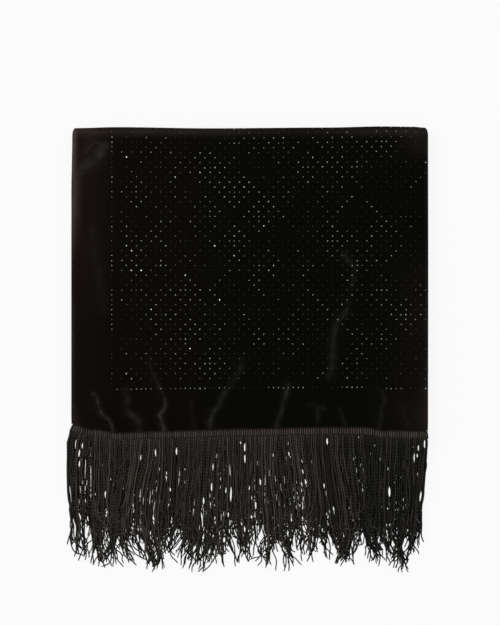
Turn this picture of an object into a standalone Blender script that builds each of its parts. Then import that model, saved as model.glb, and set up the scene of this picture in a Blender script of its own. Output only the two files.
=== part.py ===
# A fringed velvet shawl, folded lengthwise in half and then rolled flat, lying on a surface.
# Seen from above, the lengthwise fold is on the right, the selvedges are on the left, the top
# fold is at +Y and the hem with its fringe is at -Y. The underside lies in the plane z = 0.

import math
from collections import namedtuple

import bmesh
import bpy
from mathutils import Vector

# Cloth, in metres
FOLDED_WIDTH = 0.350
PANEL_LENGTH = 0.2968
PLY = 0.00115
DOUBLED = 2.0 * PLY
GAP = 0.0003
PANELS = 6
STEP = DOUBLED + GAP
STACK_HEIGHT = PANELS * DOUBLED + (PANELS - 1) * GAP

# The roll: the top fold goes round the whole stack, the bottom fold goes round all but the front
TOP_EDGE = 0.5 * PANEL_LENGTH
HEM_EDGE = -0.5 * PANEL_LENGTH
TOP_FOLD_RADIUS = 0.5 * (STACK_HEIGHT - DOUBLED)
TOP_FOLD_Y = TOP_EDGE - TOP_FOLD_RADIUS - PLY
TOP_FOLD_Z = 0.5 * STACK_HEIGHT
BOTTOM_FOLD_RADIUS = 0.5 * (STACK_HEIGHT - STEP - DOUBLED)
BOTTOM_FOLD_SHORT = 0.0075
BOTTOM_FOLD_Y = HEM_EDGE + BOTTOM_FOLD_SHORT + BOTTOM_FOLD_RADIUS + PLY
BOTTOM_FOLD_Z = 0.5 * (STACK_HEIGHT - STEP)
FRONT_Z = STACK_HEIGHT - PLY

# Looseness of the front panel
CROWN = 0.0010
CROWN_MARGIN = 0.022
HEM_DROOP = 0.0024
HEM_DROOP_REACH = 0.0090
EDGE_FADE = 0.070
UNDERSIDE_INSET = 0.0010
CORNER_INSET = 0.0014
SELVEDGE_SLOT = 0.00012
SELVEDGE_SLOT_DEPTH = 0.0012
ROUND_ANGLES = (45.0, 0.0, -45.0)

# Fineness of the cloth's mesh
FRONT_ROWS = 22
ROW_CROWDING = 1.5
FOLD_ROWS = 6
UNDER_ROWS = 3
OUTER_COLUMNS = 60
INNER_COLUMNS = OUTER_COLUMNS // 2

# Layers inside the roll, from the lowest to the highest
INNER_LAYERS = 4
LAYER_INSET = 0.0016
LAYER_INSET_SPREAD = 0.0012
LAYER_NOTCH = 0.0010
MIDDLE_ROWS = 4
END_ROWS = 4
END_SQUEEZE = math.radians(72.0)

# Fringe trim
HEADER_HEIGHT = 0.0082
HEADER_THICKNESS = 0.0009
HEADER_SLOPE = math.radians(20.0)
HEADER_TURN_STEPS = 3
STRANDS_PER_HALF = 2 * OUTER_COLUMNS
STRAND_RADIUS = 0.00078
FRINGE_LENGTH = 0.116
FRINGE_SPREAD = 0.014
LEAN = 0.0029
LEAN_RUN = 0.75 * FRINGE_LENGTH
LOWER_HALF_LAG = 1.9
LEFT_BULGE = 0.0042
LEFT_BULGE_FROM = -0.140
BULGE_RUN = 0.095
RIGHT_TUCK = 0.0070
RIGHT_TUCK_FROM = 0.096

GOLDEN = 0.6180339887

# Colours: black silk velvet, and the warmer black of the rayon cord
VELVET_BLACK = (0.006, 0.005, 0.005)
VELVET_ROUGHNESS = 0.9
CORD_BLACK = (0.040, 0.031, 0.025)
CORD_ROUGHNESS = 0.7

# Edges that aren't straight: where along the edge, and how far it is out of its straight line
EdgePoint = namedtuple("EdgePoint", "along out")
HEM_LINE = (
    EdgePoint(-0.1755, 0.0050),
    EdgePoint(-0.1554, 0.0003),
    EdgePoint(-0.1287, -0.0032),
    EdgePoint(-0.0836, -0.0015),
    EdgePoint(0.0002, 0.0007),
    EdgePoint(0.0756, 0.0022),
    EdgePoint(0.1133, 0.0022),
    EdgePoint(0.1321, -0.0010),
    EdgePoint(0.1748, -0.0015),
)
TOP_LINE = (
    EdgePoint(-0.1730, -0.0015),
    EdgePoint(-0.1200, 0.0000),
    EdgePoint(-0.0400, -0.0010),
    EdgePoint(0.0750, 0.0000),
    EdgePoint(0.1300, 0.0010),
    EdgePoint(0.1650, 0.0006),
    EdgePoint(0.1750, -0.0022),
)
LEFT_LINE = (
    EdgePoint(-0.1484, -0.0001),
    EdgePoint(0.0150, -0.0001),
    EdgePoint(0.1150, 0.0010),
    EdgePoint(0.1484, 0.0022),
)
RIGHT_LINE = (
    EdgePoint(-0.1484, 0.0002),
    EdgePoint(0.0150, 0.0005),
    EdgePoint(0.1484, -0.0002),
)

# The largest creases of the front panel, from their far end to the end nearest the hem
Crease = namedtuple("Crease", "far_x far_y near_x near_y bow swing height half_width")
CREASES = (
    Crease(-0.1583, -0.1119, -0.1336, -0.1480, 0.0025, 0.0025, 0.0022, 0.0055),
    Crease(-0.1228, -0.1110, -0.1071, -0.1480, -0.0020, -0.0027, 0.0018, 0.0065),
    Crease(-0.1012, -0.0716, -0.0844, -0.1480, 0.0050, -0.0017, 0.0022, 0.0065),
    Crease(-0.0086, -0.0716, -0.0381, -0.1474, 0.0005, 0.0047, 0.0020, 0.0065),
    Crease(0.0347, -0.1110, 0.0278, -0.1480, 0.0005, 0.0000, 0.0012, 0.0060),
    Crease(0.0898, 0.0288, 0.0800, -0.0982, 0.0060, 0.0075, 0.0018, 0.0070),
    Crease(0.0652, -0.1190, 0.0672, -0.1440, 0.0010, 0.0000, 0.0014, 0.0055),
    Crease(0.0849, -0.1230, 0.0938, -0.1450, 0.0000, 0.0000, 0.0012, 0.0055),
    Crease(0.1272, -0.1060, 0.1282, -0.1474, 0.0030, 0.0000, 0.0016, 0.0055),
    Crease(-0.1415, 0.1362, -0.1681, 0.0987, 0.0030, 0.0000, 0.0012, 0.0065),
)
CREASE_STEPS = 20
CREASE_TAPER = 0.18

# The strands lean in groups: waves across the shawl, by their pace, start and size
LeanWave = namedtuple("LeanWave", "pace start size")
LEAN_WAVES = (
    LeanWave(51.4, 0.6, 1.0),
    LeanWave(97.1, 2.1, 0.7),
)

# How a strand falls: how far it is from the header, and the height of its middle above the
# floor, for the upper and for the lower half of the cloth
FallPoint = namedtuple("FallPoint", "away upper lower")
FALL = (
    FallPoint(0.0080, 0.0066, 0.0050),
    FallPoint(0.0230, 0.0032, 0.0017),
    FallPoint(0.0480, 0.0028, 0.0013),
    FallPoint(0.0820, 0.0027, 0.0012),
)
TIP_UPPER = 0.0026
TIP_LOWER = 0.0012

# One section across the rolled cloth: the middle of its wall, which way its outer side faces,
# and how much of the hem's, the top edge's and the front panel's shape it takes
Section = namedtuple("Section", "y z out_y out_z hem top front")

# One place along the header: its x, the height of its middle over the hem's, the way along it
# and the way its outer side faces, both as (x, z), and whether a strand hangs from it
HeaderPlace = namedtuple("HeaderPlace", "x over way out hangs")


def smooth(value):
    value = min(max(value, 0.0), 1.0)
    return value * value * (3.0 - 2.0 * value)


def read_line(line, at):
    """How far an edge is out of its straight line, eased between the line's points."""
    if at <= line[0].along:
        return line[0].out
    for low, high in zip(line, line[1:]):
        if at <= high.along:
            share = smooth((at - low.along) / (high.along - low.along))
            return low.out + (high.out - low.out) * share
    return line[-1].out


def left_edge(y):
    return -0.5 * FOLDED_WIDTH + read_line(LEFT_LINE, y)


def right_edge(y):
    return 0.5 * FOLDED_WIDTH + read_line(RIGHT_LINE, y)


def crease_course(crease):
    """Points along a crease, which bows to one side and swings once to both."""
    course = []
    for step in range(CREASE_STEPS + 1):
        share = step / CREASE_STEPS
        x = crease.far_x + (crease.near_x - crease.far_x) * share
        x += crease.bow * math.sin(math.pi * share)
        x += crease.swing * math.sin(2.0 * math.pi * share)
        y = crease.far_y + (crease.near_y - crease.far_y) * share
        course.append((x, y))
    return course


CREASE_COURSES = [crease_course(crease) for crease in CREASES]


def crease_lift(x, y):
    """Height that the creases add to the front panel at one place."""
    lift = 0.0
    for crease, course in zip(CREASES, CREASE_COURSES):
        nearest = min(
            (math.hypot(x - at[0], y - at[1]), step) for step, at in enumerate(course)
        )
        share = nearest[1] / CREASE_STEPS
        taper = smooth(share / CREASE_TAPER)
        lift += crease.height * taper * math.exp(-((nearest[0] / crease.half_width) ** 2))
    return lift


def front_lift(x, y, from_hem):
    """Height of the front panel over its straight level: crown, creases and drooping hem."""
    from_side = min(x - left_edge(y), right_edge(y) - x)
    from_top = TOP_FOLD_Y - y
    crown = CROWN * smooth(from_side / CROWN_MARGIN) * smooth(from_top / CROWN_MARGIN)
    droop = HEM_DROOP * (1.0 - smooth(from_hem / HEM_DROOP_REACH))
    crown *= smooth(from_hem / CROWN_MARGIN)
    return crown + crease_lift(x, y) - droop


def rolled_sections():
    """Sections from the hem, over the top fold and the underside, to under the front panel."""
    sections = []
    run = TOP_FOLD_Y - HEM_EDGE
    for row in range(FRONT_ROWS):
        y = HEM_EDGE + run * (row / FRONT_ROWS) ** ROW_CROWDING
        hem = 1.0 - smooth((y - HEM_EDGE) / EDGE_FADE)
        top = 1.0 - smooth((TOP_FOLD_Y - y) / EDGE_FADE)
        sections.append(Section(y, FRONT_Z, 0.0, 1.0, hem, top, 1.0))
    for row in range(FOLD_ROWS + 1):
        angle = math.pi * (0.5 - row / FOLD_ROWS)
        out_y = math.cos(angle)
        out_z = math.sin(angle)
        y = TOP_FOLD_Y + TOP_FOLD_RADIUS * out_y
        z = TOP_FOLD_Z + TOP_FOLD_RADIUS * out_z
        sections.append(Section(y, z, out_y, out_z, 0.0, 1.0, 0.0))
    under_run = TOP_FOLD_Y - BOTTOM_FOLD_Y
    for row in range(1, UNDER_ROWS):
        y = TOP_FOLD_Y - under_run * row / UNDER_ROWS
        top = 1.0 - smooth((TOP_FOLD_Y - y) / EDGE_FADE)
        sections.append(Section(y, PLY, 0.0, -1.0, 0.0, top, 0.0))
    for row in range(FOLD_ROWS + 1):
        angle = math.pi * (-0.5 - row / FOLD_ROWS)
        out_y = math.cos(angle)
        out_z = math.sin(angle)
        y = BOTTOM_FOLD_Y + BOTTOM_FOLD_RADIUS * out_y
        z = BOTTOM_FOLD_Z + BOTTOM_FOLD_RADIUS * out_z
        sections.append(Section(y, z, out_y, out_z, 0.0, 0.0, 0.0))
    return sections


def hem_out(x):
    """How far the hem is out of line, straight between the inner columns of the cloth's mesh."""
    left = left_edge(HEM_EDGE)
    cell = (right_edge(HEM_EDGE) - PLY - left) / INNER_COLUMNS
    place = min(max((x - left) / cell, 0.0), float(INNER_COLUMNS))
    column = min(int(place), INNER_COLUMNS - 1)
    low = read_line(HEM_LINE, left + cell * column)
    high = read_line(HEM_LINE, left + cell * (column + 1))
    return low + (high - low) * (place - column)


def cloth_point(section, x, offset):
    """A point of the cloth's wall, offset from its middle towards its outer side."""
    y = section.y
    y += section.hem * hem_out(x)
    y += section.top * read_line(TOP_LINE, x)
    z = section.z
    if section.front:
        z += front_lift(x, y, section.y - HEM_EDGE)
    return Vector((x, y + section.out_y * offset, z + section.out_z * offset))


def cloth_span(section):
    """Where the cloth's flat stretch starts on the left and ends at the fold on the right."""
    inset = 0.0 if section.front else UNDERSIDE_INSET
    inset += CORNER_INSET * max(section.out_y, 0.0)
    return left_edge(section.y) + inset, right_edge(section.y) - inset - PLY


def cloth_ring(section):
    """The wall's outline at one section: outer side, fold, inner side and two selvedges."""
    left, right = cloth_span(section)
    outer = []
    for column in range(OUTER_COLUMNS + 1):
        x = left + (right - left) * column / OUTER_COLUMNS
        outer.append(cloth_point(section, x, PLY))
    fold = []
    for degrees in ROUND_ANGLES:
        turn = math.radians(degrees)
        fold.append(cloth_point(section, right + PLY * math.cos(turn), PLY * math.sin(turn)))
    inner = []
    for column in range(INNER_COLUMNS, -1, -1):
        x = left + (right - left) * column / INNER_COLUMNS
        inner.append(cloth_point(section, x, -PLY))
    selvedges = [
        cloth_point(section, left, -SELVEDGE_SLOT),
        cloth_point(section, left + SELVEDGE_SLOT_DEPTH, 0.0),
        cloth_point(section, left, SELVEDGE_SLOT),
    ]
    return outer + fold + inner + selvedges


def loft(mesh, rings):
    """Join rings of equally many points, one after another, and return their vertices."""
    vertices = [[mesh.verts.new(point) for point in ring] for ring in rings]
    count = len(rings[0])
    for low, high in zip(vertices, vertices[1:]):
        for index in range(count):
            after = (index + 1) % count
            mesh.faces.new((low[index], low[after], high[after], high[index]))
    return vertices


def cap_cloth(mesh, ring, turned):
    """Close one end of the cloth's wall, cell by cell, so that each face stays nearly flat."""
    outer = ring[:OUTER_COLUMNS + 1]
    fold = ring[OUTER_COLUMNS + 1:OUTER_COLUMNS + 1 + len(ROUND_ANGLES)]
    first_inner = OUTER_COLUMNS + 1 + len(ROUND_ANGLES)
    inner = ring[first_inner:first_inner + INNER_COLUMNS + 1][::-1]
    selvedges = ring[first_inner + INNER_COLUMNS + 1:]
    for cell in range(INNER_COLUMNS):
        corners = outer[2 * cell:2 * cell + 3]
        if cell == INNER_COLUMNS - 1:
            corners = corners + fold
        corners = corners + [inner[cell + 1], inner[cell]]
        if cell == 0:
            corners = corners + selvedges
        mesh.faces.new(corners[::-1] if turned else corners)


def finish_object(name, mesh, collection, colour, roughness):
    """Turn a mesh into a named object with its own plain material."""
    bmesh.ops.triangulate(mesh, faces=mesh.faces[:])
    data = bpy.data.meshes.new(name)
    mesh.to_mesh(data)
    mesh.free()
    material = bpy.data.materials.new(name)
    material.use_nodes = True
    shader = material.node_tree.nodes["Principled BSDF"]
    shader.inputs["Base Color"].default_value = (*colour, 1.0)
    shader.inputs["Roughness"].default_value = roughness
    shader.inputs["Metallic"].default_value = 0.0
    data.materials.append(material)
    piece = bpy.data.objects.new(name, data)
    collection.objects.link(piece)
    return piece


def make_cloth(collection):
    mesh = bmesh.new()
    rings = [cloth_ring(section) for section in rolled_sections()]
    vertices = loft(mesh, rings)
    cap_cloth(mesh, vertices[0], turned=True)
    cap_cloth(mesh, vertices[-1], turned=False)
    return finish_object("velvet_cloth", mesh, collection, VELVET_BLACK, VELVET_ROUGHNESS)


def jitter(number):
    """An even spread between 0 and 1 that looks unordered."""
    return (number * GOLDEN) % 1.0


def layer_ring(y, middle, squeeze, top_share):
    """Outline of the hidden layers across the shawl: folds on the right, selvedges on the left.

    The ring is squeezed towards its middle height at the rounded ends, and top_share takes the
    highest layer away where the cloth's own bottom fold takes its place.
    """
    right = right_edge(y) - LAYER_INSET
    left = left_edge(y) + LAYER_INSET
    folds = []
    selvedges = []
    for layer in range(INNER_LAYERS):
        low = STEP * (layer + 1)
        high = low + DOUBLED
        fold_x = right - LAYER_INSET_SPREAD * jitter(layer + 1)
        folds.append((fold_x - PLY, low))
        folds.append((fold_x, low + PLY))
        folds.append((fold_x - PLY, high))
        if layer < INNER_LAYERS - 1:
            folds.append((fold_x - PLY - LAYER_NOTCH, high + 0.5 * GAP))
        for ply in range(2):
            ply_low = low + ply * PLY
            edge_x = left + LAYER_INSET_SPREAD * jitter(2 * layer + ply + 4)
            selvedges.append((edge_x, ply_low + SELVEDGE_SLOT))
            selvedges.append((edge_x, ply_low + PLY - SELVEDGE_SLOT))
            if ply == 0 or layer < INNER_LAYERS - 1:
                slot_z = ply_low + PLY + (0.5 * GAP if ply else 0.0)
                selvedges.append((edge_x + SELVEDGE_SLOT_DEPTH, slot_z))
    ring = []
    ceiling = STEP * INNER_LAYERS - GAP
    for side in (folds, selvedges[::-1]):
        below = [at for at in side if at[1] <= ceiling]
        corner_x = (below[-1] if side is folds else below[0])[0]
        for x, z in side:
            if z > ceiling:
                x = corner_x + (x - corner_x) * top_share
                z = ceiling + (z - ceiling) * top_share
            ring.append(Vector((x, y, middle + (z - middle) * squeeze)))
    return ring


def make_layers(collection):
    """The panels inside the roll as one solid, rounded where they fold at both ends."""
    low = STEP
    high = STEP * (INNER_LAYERS + 1) - GAP
    under_high = STEP * INNER_LAYERS - GAP
    end_radius = 0.5 * (under_high - low)
    top_radius = 0.5 * (high - low)
    rings = []
    for row in range(END_ROWS, 0, -1):
        angle = END_SQUEEZE * row / END_ROWS
        y = BOTTOM_FOLD_Y - end_radius * math.sin(angle)
        rings.append(layer_ring(y, low + end_radius, math.cos(angle), 0.0))
    top_layer_y = BOTTOM_FOLD_Y + GAP
    rings.append(layer_ring(top_layer_y, low, 1.0, 0.0))
    rings.append(layer_ring(top_layer_y, low, 1.0, 1.0))
    top_end_y = TOP_FOLD_Y - GAP + min(point.out for point in TOP_LINE)
    for row in range(1, MIDDLE_ROWS):
        y = top_layer_y + (top_end_y - top_layer_y) * row / MIDDLE_ROWS
        rings.append(layer_ring(y, low, 1.0, 1.0))
    for row in range(END_ROWS + 1):
        angle = END_SQUEEZE * row / END_ROWS
        y = top_end_y + top_radius * math.sin(angle)
        rings.append(layer_ring(y, low + top_radius, math.cos(angle), 1.0))
    mesh = bmesh.new()
    vertices = loft(mesh, rings)
    mesh.faces.new(vertices[0][::-1])
    mesh.faces.new(vertices[-1])
    bmesh.ops.remove_doubles(mesh, verts=mesh.verts[:], dist=0.00001)
    bmesh.ops.recalc_face_normals(mesh, faces=mesh.faces[:])
    return finish_object("inner_layers", mesh, collection, VELVET_BLACK, VELVET_ROUGHNESS)


def header_places():
    """Places along the header: across the upper half, round the fold and back below."""
    arm = 0.5 * (HEADER_THICKNESS + GAP)
    left, right = cloth_span(rolled_sections()[0])
    places = []
    for step in range(STRANDS_PER_HALF + 1):
        x = left + (right - left) * step / STRANDS_PER_HALF
        places.append(HeaderPlace(x, arm, (1.0, 0.0), (0.0, 1.0), step < STRANDS_PER_HALF))
    for step in range(1, HEADER_TURN_STEPS):
        turn = math.pi * step / HEADER_TURN_STEPS
        way = (math.cos(turn), -math.sin(turn))
        out = (math.sin(turn), math.cos(turn))
        places.append(HeaderPlace(right + arm * out[0], arm * out[1], way, out, False))
    for step in range(STRANDS_PER_HALF + 1):
        x = right + (left - right) * step / STRANDS_PER_HALF
        places.append(HeaderPlace(x, -arm, (-1.0, 0.0), (0.0, -1.0), step < STRANDS_PER_HALF))
    return places


def lean_of(x, away, upper):
    """How far a strand has drifted sideways when it is this far from the header."""
    lag = 0.0 if upper else LOWER_HALF_LAG
    drift = 0.0
    for wave in LEAN_WAVES:
        drift += LEAN * wave.size * math.sin(wave.pace * x + wave.start + lag)
    drift *= smooth(away / LEAN_RUN)
    edge = 0.5 * FOLDED_WIDTH
    near_left = smooth((LEFT_BULGE_FROM - x) / (LEFT_BULGE_FROM + edge))
    near_right = smooth((x - RIGHT_TUCK_FROM) / (edge - RIGHT_TUCK_FROM))
    drift -= LEFT_BULGE * near_left * math.sin(math.pi * min(away / BULGE_RUN, 1.0))
    drift -= RIGHT_TUCK * near_right * smooth(away / FRINGE_LENGTH)
    return drift


def strand_triangle(centre, place, slope):
    """Three points round a strand's middle, square to the way that it falls."""
    out = place.out
    outward = Vector((out[0], -out[1] * math.sin(slope), out[1] * math.cos(slope)))
    side = Vector((place.way[0], 0.0, place.way[1]))
    low = centre - 0.5 * STRAND_RADIUS * outward
    spread = STRAND_RADIUS * math.cos(math.radians(30.0)) * side
    return [low - spread, low + spread, centre + STRAND_RADIUS * outward]


def strand_sections(root, place, number):
    """A strand's sections from below its root to its tip, lying just over the floor."""
    upper = place.out[1] > 0.0
    length = FRINGE_LENGTH + FRINGE_SPREAD * (2.0 * jitter(number) - 1.0)
    fall = [(point.away, point.upper if upper else point.lower) for point in FALL]
    fall.append((length, TIP_UPPER if upper else TIP_LOWER))
    sections = []
    last = (0.0, root.z)
    for away, height in fall:
        slope = math.atan2(last[1] - height, away - last[0])
        centre = Vector((root.x + lean_of(root.x, away, upper), root.y - away, height))
        sections.append(strand_triangle(centre, place, slope))
        last = (away, height)
    return sections


def make_fringe(collection):
    """The header braid and the strands that hang from its lower edge, fused at their roots."""
    mesh = bmesh.new()
    half = 0.5 * HEADER_THICKNESS
    hinge_z = FRONT_Z - HEM_DROOP
    corners = ((0.0, half), (HEADER_HEIGHT, half), (HEADER_HEIGHT, -half), (0.0, -half))
    places = header_places()
    rings = []
    for place in places:
        top_y = HEM_EDGE + hem_out(place.x) - GAP
        ring = []
        for down, offset in corners:
            x = place.x + place.out[0] * offset
            y = top_y - down * math.cos(HEADER_SLOPE)
            z = hinge_z + place.over - down * math.sin(HEADER_SLOPE) + place.out[1] * offset
            ring.append(mesh.verts.new((x, y, z)))
        rings.append(ring)
    for low, high in zip(rings, rings[1:]):
        for side in (0, 2, 3):
            after = (side + 1) % 4
            mesh.faces.new((low[side], low[after], high[after], high[side]))
    mesh.faces.new(rings[0][::-1])
    mesh.faces.new(rings[-1])
    for number, (low, high, place) in enumerate(zip(rings, rings[1:], places)):
        if not place.hangs:
            mesh.faces.new((low[1], low[2], high[2], high[1]))
            continue
        mesh.faces.new((low[1], high[2], high[1]))
        last = [low[2], high[2], low[1]]
        root = sum((corner.co for corner in last), Vector()) / len(last)
        for triangle in strand_sections(root, place, number):
            ring = [mesh.verts.new(point) for point in triangle]
            for index in range(len(ring)):
                after = (index + 1) % len(ring)
                mesh.faces.new((last[index], last[after], ring[after], ring[index]))
            last = ring
        mesh.faces.new(last)
    bmesh.ops.recalc_face_normals(mesh, faces=mesh.faces[:])
    return finish_object("fringe_trim", mesh, collection, CORD_BLACK, CORD_ROUGHNESS)


def main():
    for piece in list(bpy.data.objects):
        bpy.data.objects.remove(piece, do_unlink=True)
    shawl = bpy.data.collections.new("velvet_shawl")
    bpy.context.scene.collection.children.link(shawl)
    make_cloth(shawl)
    make_layers(shawl)
    make_fringe(shawl)


main()
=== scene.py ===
import math
from collections import namedtuple

import bpy
import numpy as np
from mathutils import Matrix, Vector


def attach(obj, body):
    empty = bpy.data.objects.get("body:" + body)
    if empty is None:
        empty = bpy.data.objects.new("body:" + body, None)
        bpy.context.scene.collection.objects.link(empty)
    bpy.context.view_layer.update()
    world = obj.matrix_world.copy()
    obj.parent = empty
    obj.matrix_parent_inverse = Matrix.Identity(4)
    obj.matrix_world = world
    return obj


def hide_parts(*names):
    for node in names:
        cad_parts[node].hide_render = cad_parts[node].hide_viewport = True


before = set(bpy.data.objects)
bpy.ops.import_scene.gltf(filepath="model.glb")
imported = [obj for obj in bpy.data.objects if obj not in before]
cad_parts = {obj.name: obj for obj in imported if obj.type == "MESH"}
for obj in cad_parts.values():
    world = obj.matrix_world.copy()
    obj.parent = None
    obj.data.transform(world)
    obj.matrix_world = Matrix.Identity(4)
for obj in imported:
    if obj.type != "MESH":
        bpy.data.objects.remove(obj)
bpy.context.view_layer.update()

# Velvet cloth
# One cut length of black silk and rayon velvet. It is folded lengthwise in half, with the fold on
# the right and both selvedges on the left, and then rolled flat crosswise into six panels.
CUT_WIDTH = 0.700
FOLDED_WIDTH = 0.5 * CUT_WIDTH
HALF_WIDTH = 0.5 * FOLDED_WIDTH
PANEL_LENGTH = 0.2968
PLY_ROOM = 0.00115
STRIP_STEP = 2.0 * PLY_ROOM + 0.0003
PLY_THICKNESS = 0.0010
PLIES_APART = 0.00116
HEM_EDGE = -0.5 * PANEL_LENGTH
TOP_FOLD_Y = 0.14075
BOTTOM_FOLD_Y = -0.13455
EDGE_FADE = 0.070
CORNER_INSET = 0.0014

# How the front panel lies: its crown, and its hem, which droops over the panels below
CROWN = 0.0010
CROWN_MARGIN = 0.022
HEM_DROOP = 0.0024
HEM_DROOP_REACH = 0.0090
HEM_PARTING = 0.0006
HEM_PARTING_REACH = 0.0060
LOWER_PLY_CREASE = 0.5
FOLD_CREASE = 0.5 * (1.0 + LOWER_PLY_CREASE)

# The panels in the order of rolling: each one's level in the stack, its rows of mesh, how far it
# is inside the outline on both sides, and how far its far fold is inside the roll's ends
Panel = namedtuple("Panel", "level rows left_in right_in fold_in")
PANELS = (
    Panel(5, 108, 0.0, 0.0, 0.0),
    Panel(0, 14, 0.0010, 0.0010, 0.0),
    Panel(4, 13, 0.0024, 0.0019, 0.0012),
    Panel(1, 12, 0.0017, 0.0028, 0.0020),
    Panel(3, 12, 0.0029, 0.0017, 0.0030),
    Panel(2, 12, 0.0021, 0.0023, 0.0100),
)
TOP_LEVEL = PANELS[0].level
FOLD_ROWS = 8
ROW_CROWDING = 1.25
FACE_COLUMNS = 248
FACE_PER_BACK = 4
BACK_COLUMNS = FACE_COLUMNS // FACE_PER_BACK
ROUND_STEPS = 6
HEM_ROUND = (math.radians(20.0), math.radians(50.0))


def in_metres(kind, *rows):
    """Named rows in metres, from rows in millimetres."""
    return [kind(*(value / 1000.0 for value in row)) for row in rows]


# Edges that aren't straight: where along the edge, and how far it is out of its straight line
EdgePoint = namedtuple("EdgePoint", "along out")
HEM_LINE = in_metres(
    EdgePoint,
    (-175.5, 5), (-155.4, 0.3), (-128.7, -3.2), (-83.6, -1.5), (0.2, 0.7), (75.6, 2.2),
    (113.3, 2.2), (132.1, -1), (174.8, -1.5),
)
TOP_LINE = in_metres(
    EdgePoint,
    (-173, -0.1), (-130, 0.9), (-40, -0.3), (75, 0.5), (130, 1.6), (160, 1.3), (175, 0.3),
)
LEFT_LINE = in_metres(
    EdgePoint,
    (-148.4, -0.1), (15, -0.1), (80, 0), (148.4, 0.9),
)
RIGHT_LINE = in_metres(
    EdgePoint,
    (-148.4, 0.6), (15, 0.8), (148.4, 0.6),
)

# The creases of the front panel, in millimetres: the course of each from its far end towards the
# hem, its height and half width, half the width of the painted highlight along its crest, and
# then how bright that is at either end
Crease = namedtuple("Crease", "course height half_width crest far_shine near_shine")
CREASES = [Crease(np.reshape(course, (-1, 2)) / 1000.0, *(size / 1000.0 for size in sizes), *shine)
           for course, sizes, shine in (
    ((-157.9, -113.2, -151.4, -114.9, -148.4, -125.2, -144.8, -133.6, -137.6, -140.5,
     -134.6, -150), (2.2, 5.5, 1.5), (0.33, 0.37)),
    ((-125.8, -106, -120.8, -111.9, -119.7, -120.4, -120.8, -127.7, -117.3, -133.6,
     -110.1, -139.5, -107.1, -150), (1.8, 6.5, 3.4), (0.12, 0.17)),
    ((-100.6, -67.6, -98.8, -82.2, -94.7, -95.2, -88.7, -107, -83.9, -117.8, -83.1, -125.2,
     -85.9, -131.1, -88.9, -135.1, -86.4, -139.5, -84.4, -150), (2.2, 6.5, 1.8), (0.1, 0.56)),
    ((-7.6, -72.6, -8.6, -88.3, -15.9, -101.1, -24.4, -111.9, -30.3, -125.2, -37.4, -134.6,
     -39.1, -150), (2, 6.5, 2.2), (0.11, 0.3)),
    ((39.2, -101, 37.3, -108.2, 34.9, -116.6, 31.3, -132, 26.5, -143.9, 25.4, -150),
     (1.2, 6, 2), (0.22, 0.19)),
    ((88.9, 28.8, 97, 18, 101.9, 8, 101.1, -6, 99, -19), (1.8, 7, 2.8), (0.13, 0.02)),
    ((99, -19, 94, -33, 86.2, -44, 82.3, -60, 81.4, -80.7, 78.5, -96), (1.8, 7, 3.1),
     (0.13, 0.15)),
    ((67, -127.5, 67.1, -139.2, 66.4, -149), (1.2, 5.5, 1.9), (0.15, 0.1)),
    ((55.2, -123.8, 64, -125, 71.8, -127.3), (0.8, 4, 2.1), (0.1, 0.1)),
    ((87.9, -124, 90, -133, 93.3, -142.8, 93.8, -150), (1.2, 5.5, 2), (0.07, 0.13)),
    ((125.6, -107, 131.5, -115.4, 132.1, -122.5, 129.7, -129.7, 127.9, -143.9, 127.2, -150),
     (1.6, 5.5, 2.2), (0.09, 0.11)),
    ((-143.6, 137, -144, 128.5, -148, 120.5, -156, 114, -165, 107.5, -171.3, 96, -173.5, 80),
     (1.2, 6.5, 4.4), (0.26, 0.13)),
    ((-153, 138, -156, 130, -162, 122, -169, 115), (0.7, 6, 4.6), (0.15, 0.1)),
    ((-57, -119, -56.5, -132, -54.5, -145), (0.6, 4.5, 2.4), (0.06, 0.05)),
    ((148, -122, 153, -133, 156, -145), (0.7, 5.5, 3.5), (0.05, 0.06)),
    ((-156, 56, -150, 15, -144, -30), (0.5, 7, 4.5), (0.05, 0.05)),
)]
CREASE_BEND_STEPS = 4
CREASE_TAPER = 0.18
# The painted highlight along each crest: how far it reaches, in half widths, and a faint even glow
# within that reach
CREST_REACH = 3.0
CREST_GLOW = 0.08

# Black velvet: the pile takes in nearly all light and gives back a soft sheen where it is seen
# from its side. Where the pile is pressed it looks greyer and warmer. Its colour also holds painted
# sheen along the rounded edges and the top fold, a painted highlight along the crease crests, and
# painted light that makes it lighter and warmer along the left side.
PILE_DEEP = "040402"
# Painted light along the left side
PILE_LEFT_LIGHT = "110b08"
# Pressed pile, and painted sheen along the rounded edges and folds
PILE_PRESSED_AND_SHEEN = "3c332e"
# Painted highlight along the crease crests
PILE_CREST_HIGHLIGHT = "3d3c37"
PILE_SHEEN = "a89c90"
PILE_GRAIN_MM = 0.9
PILE_SHADE_MM = 38.0
CREST_FLECK_MM = 8.0
SHADE_GAIN = 1.7
SHADE_HEIGHT = 5.0

# How far the pile looks lighter along the edges, from pressing and from painted sheen where the
# cloth rounds over: by its level and the width of the band
Band = namedtuple("Band", "level width")
LEFT_BAND = Band(0.72, 0.0060)
# A narrow line of painted sheen where the left edge rounds over
LEFT_EDGE_SHEEN = Band(0.38, 0.0024)
RIGHT_BAND = Band(0.16, 0.0030)
RIGHT_LOW_BAND = Band(0.08, 0.012)
RIGHT_WIDE_BAND = Band(0.07, 0.030)
TOP_BAND = Band(0.30, 0.0036)
LOW_RIGHT_LEVEL = 0.02

# Soft spots of painted sheen in the two upper corners
Spot = namedtuple("Spot", "level x width y height")
SPOTS = (Spot(0.04, -0.158, 0.018, 0.128, 0.022), Spot(0.16, 0.165, 0.016, 0.136, 0.014))


def smooth(value):
    value = np.clip(value, 0.0, 1.0)
    return value * value * (3.0 - 2.0 * value)


def rise(value, start, run):
    """0 up to the start, and eased to 1 over the run."""
    return smooth((value - start) / run)


def fall(value, end, run):
    """0 past the end, and eased to 1 at a run before it."""
    return smooth((end - value) / run)


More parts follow.
